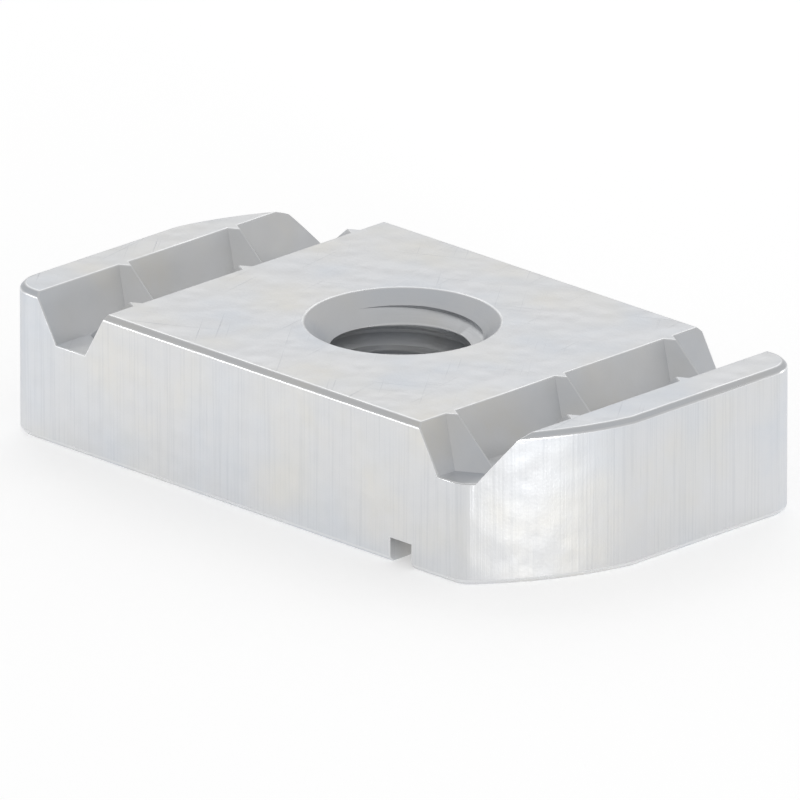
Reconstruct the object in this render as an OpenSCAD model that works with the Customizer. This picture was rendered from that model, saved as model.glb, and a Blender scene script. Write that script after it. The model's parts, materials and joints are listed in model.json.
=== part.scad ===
// Twist-in strut channel nut: one formed steel block with two toothed grooves.
// X runs along its length, Z up. The origin is in the middle of the underside.

/* [Blank] */
// Length of the nut, across the channel
nut_length = 34.5; // [32:0.5:40]
// Width of the nut, along the channel
nut_width = 19; // [18:0.5:24]
// Thickness of the nut
nut_height = 7.5; // [6:0.5:12]
// Width of the chamfer that breaks the outer edges
edge_break = 0.25; // [0.1:0.05:0.35]

/* [Corners] */
// Radius of the two plain corners
corner_r = 1.7; // [0.5:0.1:3]
// Radius of the two corners that swing past the channel's walls
twist_r = 15.6; // [14:0.2:20]
// Where a twist-in corner leaves the long side, from the end of the nut
twist_side_run = 3.95; // [2.5:0.05:4.3]
// Where a twist-in corner meets the end of the nut, from the long side
twist_end_run = 7.7; // [6:0.1:8.5]
// Radius that eases a twist-in corner into the long side
ease_r = 1.2; // [0.5:0.1:2]

/* [Grooves] */
// Flat land left on the flange outside a groove
flange_land = 2.1; // [1.6:0.1:2.6]
// Width of a groove at the top face
groove_w = 4.65; // [4:0.05:5.2]
// Depth of a groove
groove_depth = 2.35; // [1.6:0.05:2.8]
// Slope of a groove's walls
wall_angle = 60; // [55:1:75]

/* [Teeth] */
// Spacing of the teeth along one wall of a groove
tooth_pitch = 7.3; // [6:0.1:7.6]
// Teeth on the wall next to the middle block
block_teeth = 3; // [2:1:3]
// How far a tooth stands out from its wall at the top face
tooth_tip = 0.55; // [0.2:0.05:0.9]
// Angle between a tooth's two flanks, seen from above
tooth_angle = 60; // [40:1:70]
// Floor left between a tooth's toe and the wall across the groove
toe_gap = 0.1; // [0.05:0.05:0.5]

/* [Bore] */
// Nominal diameter of the thread
thread_d = 8; // [6:1:12]
// Pitch of the thread
thread_pitch = 1.25; // [1:0.25:1.75]
// How much wider than the thread the countersink is at the top face
countersink_extra = 1.4; // [0.6:0.1:2.4]
// How much wider than the thread the lead-out is at the underside
leadout_extra = 0.6; // [0.2:0.1:1.2]

/* [Underside slot] */
// Width of the slot that tells the thread size by feel
slot_w = 1.4; // [0.8:0.1:2]
// Depth of the slot
slot_depth = 1.25; // [0.5:0.05:1.6]
// Distance of the slot from the middle of the nut
slot_offset = 9.35; // [7:0.05:11]

/* [Hidden] */
$fn = 128;
half_l = nut_length / 2;
half_w = nut_width / 2;
over = 1; // how far a cutter stands proud of the face that it cuts

// A twist-in arc runs from its start on the long side to its end on the short one
arc_start = [half_l - twist_side_run, -half_w];
arc_end = [half_l, twist_end_run - half_w];
arc_chord = arc_end - arc_start;
arc_inward = [-arc_chord.y, arc_chord.x] / norm(arc_chord);
arc_centre = (arc_start + arc_end) / 2
    + arc_inward * sqrt(twist_r * twist_r - arc_chord * arc_chord / 4);

// The easing circle touches the long side and, from inside, the twist-in arc
ease_rise = arc_centre.y + half_w - ease_r;
ease_centre = [arc_centre.x + sqrt(pow(twist_r - ease_r, 2) - ease_rise * ease_rise), ease_r - half_w];
ease_out = (ease_centre - arc_centre) / norm(ease_centre - arc_centre);
ease_turn = 90 + atan2(ease_out.y, ease_out.x);

groove_run = groove_depth / tan(wall_angle); // how far a wall leans outward
groove_floor = groove_w - 2 * groove_run;
groove_x = half_l - flange_land - groove_w / 2;

// A tooth's crest falls in a straight line from its tip to its toe
tooth_toe = groove_floor - toe_gap;
crest_run = groove_run + tooth_toe - tooth_tip;
crest_fall = atan2(groove_depth, crest_run);
crest_length = norm([groove_depth, crest_run]);
// Square to the crest, the tooth is this deep at its toe and widens by this much a side
tooth_root = tooth_toe * sin(crest_fall);
flank_spread = tan(tooth_angle / 2) / sin(crest_fall);

minor_r = thread_d / 2 - 0.54127 * thread_pitch; // crests of an ISO internal thread
countersink_r = (thread_d + countersink_extra) / 2;
leadout_r = (thread_d + leadout_extra) / 2;

// One side of a section with broken edges, from bottom to top
function broken_side(reach) = [[reach - edge_break, 0], [reach, edge_break],
    [reach, nut_height - edge_break], [reach - edge_break, nut_height]];

function mirrored(side) = [for (i = [len(side) - 1 : -1 : 0]) [-side[i].x, side[i].y]];

module broken_disc(r) {
    rotate_extrude() polygon(concat([[0, 0]], broken_side(r), [[0, nut_height]]));
}

// A bar along Y that reaches equally far to both sides
module broken_bar(reach, length) {
    rotate([90, 0, 0])
        linear_extrude(height = length, center = true)
            polygon(concat(broken_side(reach), mirrored(broken_side(reach))));
}

// What a rounding takes off a corner: the kite between its two tangent points and a
// point beyond the corner, less the disc. The kite opens from -Y, turn degrees round.
module rounding_waste(r, turn) {
    beyond = r / cos(turn / 2) + over;
    difference() {
        translate([0, 0, -over])
            linear_extrude(height = nut_height + 2 * over)
                polygon([[0, 0], [0, -r], beyond * [sin(turn / 2), -cos(turn / 2)],
                    r * [sin(turn), -cos(turn)]]);
        broken_disc(r);
    }
}

// What a twist-in arc takes off: the quarter of the blank outside its disc
module twist_waste() {
    difference() {
        translate([0, -nut_length, -over]) cube([nut_length, nut_length, nut_height + 2 * over]);
        broken_disc(twist_r);
    }
}

module blank() {
    difference() {
        intersection() {
            broken_bar(half_l, nut_width + 2 * over);
            rotate(90) broken_bar(half_w, nut_length + 2 * over);
        }
        for (half_turn = [0, 180]) {
            rotate(half_turn) {
                translate(arc_centre) twist_waste();
                translate(ease_centre) rounding_waste(ease_r, ease_turn);
                translate([half_l - corner_r, half_w - corner_r])
                    rotate(90) rounding_waste(corner_r, 90);
            }
        }
    }
}

// A V ridge on the wall at -X, its tip at the origin. It runs on past both ends of its
// crest and behind its wall, where the groove leaves it out.
module tooth() {
    depth = 2 * tooth_root;
    rotate([0, 90 + crest_fall, 0])
        translate([0, 0, -crest_length])
            linear_extrude(height = 3 * crest_length)
                polygon([[0, 0], depth * [1, flank_spread], depth * [1, -flank_spread]]);
}

// Teeth along one wall, centred on the middle of the nut
module tooth_row(count) {
    for (i = [0 : count - 1])
        translate([tooth_tip - groove_w / 2, (i - (count - 1) / 2) * tooth_pitch, 0]) tooth();
}

// What is taken out of the blank for one groove: the teeth of both walls are left standing
module groove() {
    top = groove_w / 2 + over / tan(wall_angle);
    translate([groove_x, 0, nut_height])
        difference() {
            rotate([90, 0, 0])
                linear_extrude(height = nut_width + 2 * over, center = true)
                    polygon([[-groove_floor / 2, -groove_depth], [groove_floor / 2, -groove_depth],
                        [top, over], [-top, over]]);
            tooth_row(block_teeth);
            mirror([1, 0, 0]) tooth_row(block_teeth - 1);
        }
}

// Tapped bore with a 90 degree countersink above and a 90 degree lead-out below
module bore() {
    translate([0, 0, -over]) cylinder(r = minor_r, h = nut_height + 2 * over);
    translate([0, 0, nut_height - countersink_r])
        cylinder(r1 = 0, r2 = countersink_r + over, h = countersink_r + over);
    translate([0, 0, -over]) cylinder(r1 = leadout_r + over, r2 = 0, h = leadout_r + over);
}

module underside_slot() {
    translate([slot_offset - slot_w / 2, -half_w - over, -over])
        cube([slot_w, nut_width + 2 * over, slot_depth + over]);
}

module channel_nut() {
    color("#d2d4d6")
        difference() {
            blank();
            for (half_turn = [0, 180]) rotate(half_turn) groove();
            bore();
            underside_slot();
        }
}

channel_nut();
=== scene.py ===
import json
import math

import bmesh
import bpy
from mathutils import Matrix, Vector


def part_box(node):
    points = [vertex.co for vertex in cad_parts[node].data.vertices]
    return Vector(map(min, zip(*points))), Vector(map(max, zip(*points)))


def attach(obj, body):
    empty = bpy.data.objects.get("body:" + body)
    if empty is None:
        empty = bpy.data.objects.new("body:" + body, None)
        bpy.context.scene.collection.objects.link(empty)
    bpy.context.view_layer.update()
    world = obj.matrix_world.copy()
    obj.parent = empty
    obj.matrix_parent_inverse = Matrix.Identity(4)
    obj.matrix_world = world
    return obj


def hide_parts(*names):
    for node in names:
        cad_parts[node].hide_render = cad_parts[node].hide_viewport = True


mm = 0.001

print("Loading the frame")
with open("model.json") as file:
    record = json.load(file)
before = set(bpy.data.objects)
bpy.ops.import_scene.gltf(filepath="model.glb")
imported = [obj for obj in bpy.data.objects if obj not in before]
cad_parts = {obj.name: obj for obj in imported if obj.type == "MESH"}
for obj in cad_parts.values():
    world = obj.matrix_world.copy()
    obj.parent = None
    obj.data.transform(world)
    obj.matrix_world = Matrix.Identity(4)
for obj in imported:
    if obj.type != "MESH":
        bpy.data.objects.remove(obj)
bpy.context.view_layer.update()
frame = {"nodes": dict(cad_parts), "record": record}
cadNut = frame["nodes"]["channel_nut"]
nutLow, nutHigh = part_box("channel_nut")
nutCentre = (nutLow + nutHigh) / 2
threadMount = next(m for m in frame["record"]["mounts"] if m["name"] == "thread")


def toLinear(hexColour):
    # sRGB hex to the linear values that Blender's sockets take
    values = [int(hexColour[i:i + 2], 16) / 255 for i in (1, 3, 5)]
    return [v / 12.92 if v <= 0.04045 else ((v + 0.055) / 1.055) ** 2.4 for v in values] + [1.0]


def addNode(tree, kind, settings=None, links=None):
    # settings are attributes or constant inputs; a node named in links feeds by its first output
    node = tree.nodes.new(kind)
    for key, value in (settings or {}).items():
        if isinstance(key, str) and hasattr(node, key):
            setattr(node, key, value)
        else:
            node.inputs[key].default_value = value
    for key, source in (links or {}).items():
        tree.links.new(source.outputs[0] if hasattr(source, "outputs") else source, node.inputs[key])
    return node


def newTree(owner):
    owner.use_nodes = True
    owner.node_tree.nodes.clear()
    return owner.node_tree


def newObject(name, data):
    thing = bpy.data.objects.new(name, data)
    bpy.context.scene.collection.objects.link(thing)
    return thing


def newMesh(name, form):
    mesh = bpy.data.meshes.new(name)
    form.to_mesh(mesh)
    form.free()
    return mesh


# Nut body: the CAD solid with its edges worn round and a real thread in its bore

nutForm = {
    "weldDistance": 0.0001 * mm,
    "flatAngle": 0.3,           # degrees; triangles that meet flatter than this are one face
    "edgeAngle": 25,            # degrees; outer corners sharper than this are rounded
    "edgeRadius": 0.07 * mm,    # what barrel plating rounds off; the lip's tip folds above 0.08
    "edgeSteps": 3,
    "threadDiameter": 8 * mm,
    "threadPitch": 1.25 * mm,
    "threadAngle": 60,
    "threadOverlap": 0.02 * mm,  # how far the tap's crest passes the nominal thread
    "threadSteps": 96,          # round one turn
    "sliverSize": 0.002 * mm,   # edges this short are merged after the cut
    "creaseAngle": 35,          # degrees; what shades as a crease
}


def roundedBody():
    form = bmesh.new()
    form.from_mesh(cadNut.data)
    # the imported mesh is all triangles: join the flat ones, so that only real edges are left
    bmesh.ops.remove_doubles(form, verts=form.verts, dist=nutForm["weldDistance"])
    bmesh.ops.dissolve_limit(form, angle_limit=math.radians(nutForm["flatAngle"]),
                             verts=form.verts, edges=form.edges)
    limit = math.radians(nutForm["edgeAngle"])
    edges = [e for e in form.edges if e.is_convex and e.calc_face_angle(0) > limit]
    wearHighlightLayer = form.faces.layers.float.new("wearAndHighlightEdge")
    rounded = bmesh.ops.bevel(form, geom=edges, affect="EDGES", offset=nutForm["edgeRadius"],
                              offset_type="OFFSET", segments=nutForm["edgeSteps"], profile=0.5,
                              loop_slide=True)
    # the rounded faces take a lighter colour in the finish: part wear, part painted highlight
    for face in rounded["faces"]:
        face[wearHighlightLayer] = 1.0
    return newObject("channelNut", newMesh("channelNut", form))


def threadTap():
    # a tap's cutting body: one thread profile swept up a helix, closed by a fan at each end
    pitch = nutForm["threadPitch"]
    steps = nutForm["threadSteps"]
    overlap = nutForm["threadOverlap"]
    crest = nutForm["threadDiameter"] / 2 + overlap
    crestFlat = pitch / 8
    core = threadMount["dims"]["r_mm"] * mm - overlap / 2
    rise = (crest - core) * math.tan(math.radians(nutForm["threadAngle"] / 2))
    profile = [(0, crest), (crestFlat, crest), (crestFlat + rise, core), (pitch - rise, core)]
    bottom = nutLow.z - 2 * pitch
    count = steps * (math.ceil((nutHigh.z - nutLow.z) / pitch) + 4)
    form = bmesh.new()
    rows = []
    for k in range(count + 1):
        angle = 2 * math.pi * k / steps
        rows.append([form.verts.new((r * math.cos(angle), r * math.sin(angle),
                                     bottom + z + pitch * k / steps)) for z, r in profile])
    for k in range(count):
        here, there = rows[k], rows[k + 1]
        for j in range(3):
            form.faces.new((here[j], there[j], there[j + 1], here[j + 1]))
        if k < count - steps:
            form.faces.new((here[3], there[3], rows[k + steps + 1][0], rows[k + steps][0]))
    low = [rows[k][0] for k in range(steps + 1)] + rows[0][:0:-1]
    high = [rows[k][3] for k in range(count - steps, count + 1)] + rows[count][2::-1]
    for loop, z in ((low, bottom), (high, bottom + pitch * (count / steps + 1))):
        tip = form.verts.new((0, 0, z))
        for a, b in zip(loop, loop[1:] + loop[:1]):
            form.faces.new((tip, a, b))
    bmesh.ops.recalc_face_normals(form, faces=form.faces)
    return newObject("tap", newMesh("tap", form))


def cutThread(body):
    tap = threadTap()
    cut = body.modifiers.new("thread", "BOOLEAN")
    cut.operation = "DIFFERENCE"
    cut.solver = "MANIFOLD"
    cut.object = tap
    graph = bpy.context.evaluated_depsgraph_get()
    cutMesh = bpy.data.meshes.new_from_object(body.evaluated_get(graph))
    body.modifiers.clear()
    body.data = cutMesh
    bpy.data.objects.remove(tap)


def smoothShading(body):
    form = bmesh.new()
    form.from_mesh(body.data)
    # the cut leaves slivers where thread and countersink cross
    bmesh.ops.dissolve_degenerate(form, dist=nutForm["sliverSize"], edges=form.edges)
    for face in form.faces:
        face.smooth = True
    for edge in form.edges:
        edge.smooth = edge.calc_face_angle(0) < math.radians(nutForm["creaseAngle"])
    form.to_mesh(body.data)
    form.free()
    normals = body.modifiers.new("flat faces stay flat", "WEIGHTED_NORMAL")
    normals.keep_sharp = True


print("Rounding the nut's edges")
nut = roundedBody()
print("Cutting the thread")
cutThread(nut)
smoothShading(nut)
print(len(nut.data.polygons), "faces")


# Bright electro-zinc plating with a clear passivate, on pressed carbon steel

# sizes, widths, lengths and depths in mm
finish = {
    "colour": "#dadbdd",
    "blueTint": "#ccd3dc",          # the passivate film where it is thicker
    "strawTint": "#dfdbd0",         # and thinner
    "wearAndHighlightColour": "#e9eaeb",        # zinc rubbed bright on the edges, with a painted highlight along them
    "paintedMarkShade": "#a4a9b0",        # painted shade: darkens the scratches and drag lines as if their grooves were shadowed
    "tintSize": 6,
    "strawRange": (0.35, 0.65),     # the noise values between which blue turns to straw
    "cloudSize": 3.5,
    "tintRange": (0.3, 0.75),       # and between which the film thickens
    "tintShare": (0.05, 0.50),      # how much of it shows, from clear to clouded patches
    "roughRange": (0.3, 0.7),
    "roughness": (0.28, 0.39),      # from clear to clouded patches
    "grainSize": 0.16,
    "grainDepth": 0.005,
    "grainRoughness": 0.06,
    "dentSize": 1.1,
    "dentDepth": 0.022,
    "scratchWidth": 0.09,           # a real one is half this; this wide it shows in the picture
    "scratchLength": 8.0,
    "scratchDepth": 0.008,
    "scratchTurns": (28, -52, 101),  # degrees from +X
    "scratchPeaks": (0.65, 0.86),   # the noise values between which a scratch fades in
    "scratchPatches": 4.0,
    "patchRange": (0.40, 0.60),
    "levelSlope": (0.9, 0.98),      # a face normal's share along Z over which scratches fade in
    "uprightSlope": (0.25, 0.1),    # and drag lines
    "dragWidth": 0.12,              # also coarser than real ones
    "dragLength": 7,
    "dragDepth": 0.008,
    "dragPeaks": (0.45, 0.75),
    "toolMarkWidth": 0.11,
    "toolMarkDepth": 0.012,
    "countersinkRadius": 4.70,
    "rimFade": 0.04,
    "polish": 0.08,                 # how much smoother edges and scratches are
    "edgeShare": 0.6,               # how much of the wear and painted highlight colour the edges take
    "scratchShare": 0.5,            # and of the painted shade colour the scratches
    "dragShare": 0.15,              # and the drag lines
}


def perMetre(size):
    # texture scale for features of this size in mm
    return 1000 / size


def streaks(tree, place, turn, width, length, detail=1.0):
    # noise drawn out along the X axis turned by these degrees
    lean = addNode(tree, "ShaderNodeMapping", {
        "vector_type": "TEXTURE",
        "Rotation": [math.radians(v) for v in turn],
        "Scale": (length * mm, width * mm, width * mm),
    }, {"Vector": place})
    return addNode(tree, "ShaderNodeTexNoise", {"Scale": 1.0, "Detail": detail}, {"Vector": lean})


def zincPlatedSteel():
    # silver grey with a faint blue and straw sheen, a plated grain and marks of cutting and tumbling,
    # painted shade in the marks and wear with a painted highlight on the edges
    material = bpy.data.materials.new("electroZincPlatedSteel")
    tree = newTree(material)
    place = addNode(tree, "ShaderNodeTexCoord").outputs["Object"]
    spot = addNode(tree, "ShaderNodeSeparateXYZ", {}, {0: place})
    facing = addNode(tree, "ShaderNodeSeparateXYZ", {},
                     {0: addNode(tree, "ShaderNodeNewGeometry").outputs["True Normal"]})
    edge = addNode(tree, "ShaderNodeAttribute", {"attribute_name": "wearAndHighlightEdge"}).outputs["Fac"]

    # masks: what the drill and tap cut, the sheared walls, and the level faces
    flatPlace = addNode(tree, "ShaderNodeCombineXYZ", {},
                        {"X": spot.outputs["X"], "Y": spot.outputs["Y"]})
    across = addNode(tree, "ShaderNodeVectorMath", {"operation": "LENGTH"},
                     {0: flatPlace}).outputs["Value"]
    rim = finish["countersinkRadius"] * mm
    drilled = addNode(tree, "ShaderNodeMapRange", {"interpolation_type": "SMOOTHSTEP",
                      "From Min": rim + finish["rimFade"] * mm, "From Max": rim}, {"Value": across})
    outside = addNode(tree, "ShaderNodeMath", {"operation": "SUBTRACT", 0: 1.0}, {1: drilled})
    slope = addNode(tree, "ShaderNodeMath", {"operation": "ABSOLUTE"}, {0: facing.outputs["Z"]})
    upright = addNode(tree, "ShaderNodeMapRange", {"interpolation_type": "SMOOTHSTEP",
                      "From Min": finish["uprightSlope"][0], "From Max": finish["uprightSlope"][1]},
                      {"Value": slope})
    wall = addNode(tree, "ShaderNodeMath", {"operation": "MULTIPLY"}, {0: upright, 1: outside})
    level = addNode(tree, "ShaderNodeMapRange", {"interpolation_type": "SMOOTHSTEP",
                    "From Min": finish["levelSlope"][0], "From Max": finish["levelSlope"][1]},
                    {"Value": slope})

    # patterns
    clouds = addNode(tree, "ShaderNodeTexNoise", {"Scale": perMetre(finish["cloudSize"]), "Detail": 4.0,
                     "Roughness": 0.6}, {"Vector": place})
    tint = addNode(tree, "ShaderNodeTexNoise", {"Scale": perMetre(finish["tintSize"])},
                   {"Vector": place})
    grain = addNode(tree, "ShaderNodeTexNoise", {"Scale": perMetre(finish["grainSize"]), "Detail": 3.0,
                    "Roughness": 0.65}, {"Vector": place})
    dents = addNode(tree, "ShaderNodeTexVoronoi", {"feature": "SMOOTH_F1", "Smoothness": 0.6,
                    "Scale": perMetre(finish["dentSize"])}, {"Vector": place})
    drag = streaks(tree, place, (0, 90, 0), finish["dragWidth"], finish["dragLength"], 2.0)
    dragLines = addNode(tree, "ShaderNodeMapRange", {"interpolation_type": "SMOOTHSTEP",
                        "From Min": finish["dragPeaks"][0], "From Max": finish["dragPeaks"][1]},
                        {"Value": drag})
    drag, dragLines = [addNode(tree, "ShaderNodeMath", {"operation": "MULTIPLY"}, {0: each, 1: wall})
                       for each in (drag, dragLines)]
    ringPlace = addNode(tree, "ShaderNodeCombineXYZ", {}, {"X": across, "Z": spot.outputs["Z"]})
    rings = addNode(tree, "ShaderNodeTexNoise", {"Scale": perMetre(finish["toolMarkWidth"]),
                    "Roughness": 0.6}, {"Vector": ringPlace})
    rings = addNode(tree, "ShaderNodeMath", {"operation": "MULTIPLY"}, {0: rings, 1: drilled})

    # scratches lie in the level faces, so they are long there; only the noise's peaks show, in patches
    patchNoise = addNode(tree, "ShaderNodeTexNoise", {"Scale": perMetre(finish["scratchPatches"]),
                         "Detail": 1.0}, {"Vector": place})
    patches = addNode(tree, "ShaderNodeMapRange", {"interpolation_type": "SMOOTHSTEP",
                      "From Min": finish["patchRange"][0], "From Max": finish["patchRange"][1]},
                      {"Value": patchNoise})
    scratches = None
    for turn in finish["scratchTurns"]:
        lines = streaks(tree, place, (0, 0, turn), finish["scratchWidth"], finish["scratchLength"])
        lines = addNode(tree, "ShaderNodeMapRange", {"interpolation_type": "SMOOTHSTEP",
                        "From Min": finish["scratchPeaks"][0], "From Max": finish["scratchPeaks"][1]},
                        {"Value": lines})
        scratches = lines if scratches is None else addNode(
            tree, "ShaderNodeMath", {"operation": "MAXIMUM"}, {0: scratches, 1: lines})
    for mask in (patches, level):
        scratches = addNode(tree, "ShaderNodeMath", {"operation": "MULTIPLY"}, {0: scratches, 1: mask})

    height = addNode(tree, "ShaderNodeMath", {"operation": "MULTIPLY", 1: finish["grainDepth"] * mm},
                     {0: grain})
    for pattern, depth in ((dents, finish["dentDepth"]), (scratches, -finish["scratchDepth"]),
                           (drag, finish["dragDepth"]), (rings, finish["toolMarkDepth"])):
        height = addNode(tree, "ShaderNodeMath", {"operation": "MULTIPLY_ADD", 1: depth * mm},
                         {0: pattern, 2: height})
    bump = addNode(tree, "ShaderNodeBump", {"Strength": 1.0, "Distance": 1.0}, {"Height": height})

    # colour: the film over the zinc, painted shade in its scratches and drag lines, and edges lighter
    # as wear and painted highlight
    strawShare = addNode(tree, "ShaderNodeMapRange", {"interpolation_type": "SMOOTHSTEP",
                         "From Min": finish["strawRange"][0], "From Max": finish["strawRange"][1]},
                         {"Value": tint})
    film = addNode(tree, "ShaderNodeMix", {"data_type": "RGBA", 6: toLinear(finish["blueTint"]),
                   7: toLinear(finish["strawTint"])}, {0: strawShare})
    filmShare = addNode(tree, "ShaderNodeMapRange", {"interpolation_type": "SMOOTHSTEP",
                        "From Min": finish["tintRange"][0], "From Max": finish["tintRange"][1],
                        "To Min": finish["tintShare"][0], "To Max": finish["tintShare"][1]},
                        {"Value": clouds})
    plated = addNode(tree, "ShaderNodeMix", {"data_type": "RGBA", 6: toLinear(finish["colour"])},
                     {0: filmShare, 7: film.outputs[2]})
    colour = plated
    # painted shade darkens the drag lines and scratches; the edges take a lighter colour, part wear and
    # part painted highlight
    for pattern, share, paint in ((dragLines, finish["dragShare"], finish["paintedMarkShade"]),
                                  (scratches, finish["scratchShare"], finish["paintedMarkShade"]),
                                  (edge, finish["edgeShare"], finish["wearAndHighlightColour"])):
        amount = addNode(tree, "ShaderNodeMath", {"operation": "MULTIPLY", 1: share}, {0: pattern})
        colour = addNode(tree, "ShaderNodeMix", {"data_type": "RGBA", 7: toLinear(paint)},
                         {0: amount, 6: colour.outputs[2]})

    rough = addNode(tree, "ShaderNodeMapRange", {"interpolation_type": "SMOOTHSTEP",
                    "From Min": finish["roughRange"][0], "From Max": finish["roughRange"][1],
                    "To Min": finish["roughness"][0], "To Max": finish["roughness"][1]},
                    {"Value": clouds})
    for pattern, change in ((grain, finish["grainRoughness"]), (edge, -finish["polish"]),
                            (scratches, -finish["polish"])):
        rough = addNode(tree, "ShaderNodeMath", {"operation": "MULTIPLY_ADD", 1: change},
                        {0: pattern, 2: rough})
    shader = addNode(tree, "ShaderNodeBsdfPrincipled", {"Metallic": 1.0},
                     {"Base Color": colour.outputs[2], "Roughness": rough, "Normal": bump})
    addNode(tree, "ShaderNodeOutputMaterial", {}, {"Surface": shader})
    return material


print("Making the zinc finish")
nut.data.materials.clear()
nut.data.materials.append(zincPlatedSteel())
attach(nut, "root")
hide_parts("channel_nut")


# Studio: a white floor, an even world and a few soft lamps

studio = {
    "frameWidth": 37.97 * mm,       # what the picture's 800 pixels span at the nut
    "nutOffset": (0.116 * mm, 0.242 * mm),  # the nut's centre, right of and above the picture's
    "azimuth": 45,                  # the picture's viewing angle; 0 looks along +Y
    "elevation": 20,
    "distance": 1.6,
    "clipRange": (0.01, 10),
    "sensorWidth": 36,
    "floorSize": 3.0,
    "floorColour": "#f2f2f2",
    "floorLift": 0.37,              # added for the camera and reflections, so that it reads as white
    "worldLevel": 0.60,
}

# name: azimuth and elevation it shines from (0 is +X), distance, width, height, brightness (1 is white)
softboxes = {
    "keyPanel": (135, 42, 0.45, 0.40, 0.34, 0.66),      # the top face
    "leftStrip": (226, 3, 0.22, 0.10, 0.026, 5.6),      # the long side
    "frontStrip": (-20, 3, 0.25, 0.032, 0.026, 58.0),   # the white band on the front curve
    "rightStrip": (64, 3, 0.25, 0.09, 0.026, 5.6),      # the end
}


def towards(azimuth, elevation):
    a = math.radians(azimuth)
    e = math.radians(elevation)
    return Vector((math.cos(a) * math.cos(e), math.sin(a) * math.cos(e), math.sin(e)))


def makeFloor():
    bpy.ops.mesh.primitive_plane_add(size=studio["floorSize"], location=(0, 0, nutLow.z))
    floor = bpy.context.object
    floor.name = "floor"
    material = bpy.data.materials.new("paleFloor")
    tree = newTree(material)
    path = addNode(tree, "ShaderNodeLightPath")
    seen = addNode(tree, "ShaderNodeMath", {"operation": "MAXIMUM"},
                   {0: path.outputs["Is Camera Ray"], 1: path.outputs["Is Glossy Ray"]})
    lift = addNode(tree, "ShaderNodeMath", {"operation": "MULTIPLY", 1: studio["floorLift"]}, {0: seen})
    diffuse = addNode(tree, "ShaderNodeBsdfDiffuse", {"Color": toLinear(studio["floorColour"])})
    glow = addNode(tree, "ShaderNodeEmission", {}, {"Strength": lift})
    both = addNode(tree, "ShaderNodeAddShader", {}, {0: diffuse, 1: glow})
    addNode(tree, "ShaderNodeOutputMaterial", {}, {"Surface": both})
    floor.data.materials.append(material)


def makeCamera():
    back = towards(studio["azimuth"] - 90, studio["elevation"])
    right = Vector((0, 0, 1)).cross(back).normalized()
    up = back.cross(right)
    target = nutCentre - right * studio["nutOffset"][0] - up * studio["nutOffset"][1]
    lens = bpy.data.cameras.new("camera")
    lens.sensor_width = studio["sensorWidth"]
    lens.lens = studio["sensorWidth"] * studio["distance"] / studio["frameWidth"]
    lens.clip_start, lens.clip_end = studio["clipRange"]
    camera = newObject("camera", lens)
    camera.location = target + back * studio["distance"]
    camera.rotation_euler = (-back).to_track_quat("-Z", "Y").to_euler()
    bpy.context.scene.camera = camera


def makeSoftbox(name, azimuth, elevation, distance, width, height, brightness):
    light = bpy.data.lights.new(name, "AREA")
    light.shape = "RECTANGLE"
    light.size = width
    light.size_y = height
    light.energy = brightness * math.pi * width * height
    box = newObject(name, light)
    aim = towards(azimuth, elevation)
    box.location = nutCentre + aim * distance
    box.rotation_euler = (-aim).to_track_quat("-Z", "Y").to_euler()
    box.visible_camera = False


def makeWorld():
    world = bpy.data.worlds.new("studio")
    bpy.context.scene.world = world
    tree = newTree(world)
    path = addNode(tree, "ShaderNodeLightPath")
    strength = addNode(tree, "ShaderNodeMapRange", {"To Min": studio["worldLevel"], "To Max": 1.0},
                       {"Value": path.outputs["Is Camera Ray"]})
    sky = addNode(tree, "ShaderNodeBackground", {"Color": toLinear("#ffffff")}, {"Strength": strength})
    addNode(tree, "ShaderNodeOutputWorld", {}, {"Surface": sky})


print("Setting up the studio")
makeFloor()
makeCamera()
makeWorld()
for name, values in softboxes.items():
    makeSoftbox(name, *values)
bpy.context.scene.view_settings.view_transform = "Standard"
